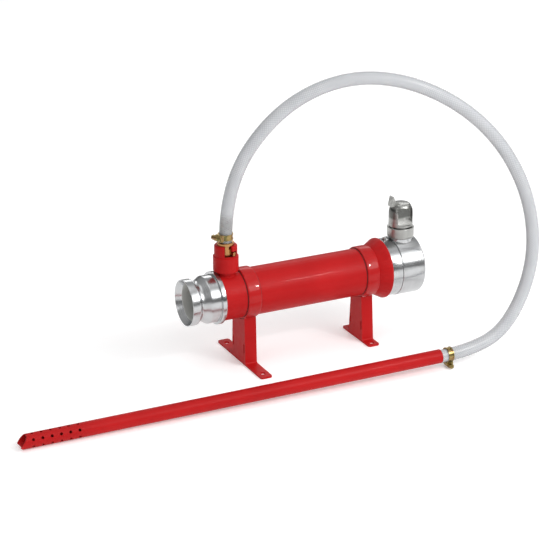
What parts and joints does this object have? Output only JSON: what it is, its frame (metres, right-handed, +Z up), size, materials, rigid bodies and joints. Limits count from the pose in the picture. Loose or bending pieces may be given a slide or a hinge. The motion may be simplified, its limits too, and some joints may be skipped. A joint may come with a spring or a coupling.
{
  "type": "inline foam generator",
  "caption": "Inline foam inductor: tube on two legs with a grooved male inlet, a twist-release female outlet and a bayonet socket whose clear hose leads to a perforated wand.",
  "frame": {"origin": "Centre of the inlet leg's two bolt holes, on the floor under the feet", "axes": "+X along the tube from the male inlet to the female outlet, +Z up, -Y to the side where the wand lies"},
  "size_m": [0.8768, 0.2608, 0.461],
  "materials": {
    "red_enamel": "gloss enamel",
    "turned_aluminium": "turned, satin",
    "dark_anodised": "hard anodised",
    "stainless": "turned",
    "brass": "turned",
    "zinc_plate": "yellow zinc plate",
    "clear_hose": "clear, braid inside",
    "white_plastic": "ground",
    "black_rubber": "moulded"
  },
  "bodies": {
    "root": {"body_tube": "red_enamel", "male_inlet_adapter": "turned_aluminium", "nozzle_gasket": "black_rubber", "inlet_nozzle": "dark_anodised", "nozzle_retaining_ring": "dark_anodised", "diffuser": "dark_anodised", "inlet_strap_band": "red_enamel", "outlet_strap_band": "red_enamel", "inlet_leg": "red_enamel", "outlet_leg": "red_enamel", "outlet_cone": "red_enamel", "coupling_tail": "turned_aluminium", "coupling_seal": "black_rubber", "coupling_body": "turned_aluminium", "locking_screw": "stainless", "lug_housing": "turned_aluminium", "lug_spring": "stainless", "foam_inlet_socket": "red_enamel", "hose_tail": "brass", "tail_o_ring": "black_rubber", "valve_seat": "brass", "valve_cage": "brass", "check_ball": "white_plastic", "check_spring": "stainless", "inlet_clamp_band": "zinc_plate", "inlet_clamp_housing": "zinc_plate", "inlet_clamp_screw": "zinc_plate", "wand_clamp_band": "zinc_plate", "wand_clamp_housing": "zinc_plate", "wand_clamp_screw": "zinc_plate", "suction_hose": "clear_hose", "wand_spigot": "brass", "pickup_wand": "red_enamel"},
    "plunger": {"lug_plunger": "stainless"},
    "knob": {"release_knob": "turned_aluminium", "knob_pin": "stainless"}
  },
  "joints": [
    {"name": "plunger_lift", "type": "slide", "parent": "root", "child": "plunger", "axis": [0, 0, 1], "range_m": [0, 0.006], "stiffness_N_per_m": 1500, "springref_m": -0.004, "deforming": ["lug_spring"]},
    {"name": "knob_twist", "type": "hinge", "parent": "plunger", "child": "knob", "pos_m": [0.2795, 0, 0.189], "axis": [0, 0, 1], "range_deg": [0, 90]}
  ],
  "couplings": [
    {"joint": "knob_twist", "follows": "plunger_lift", "rad_per_m": 261}
  ]
}
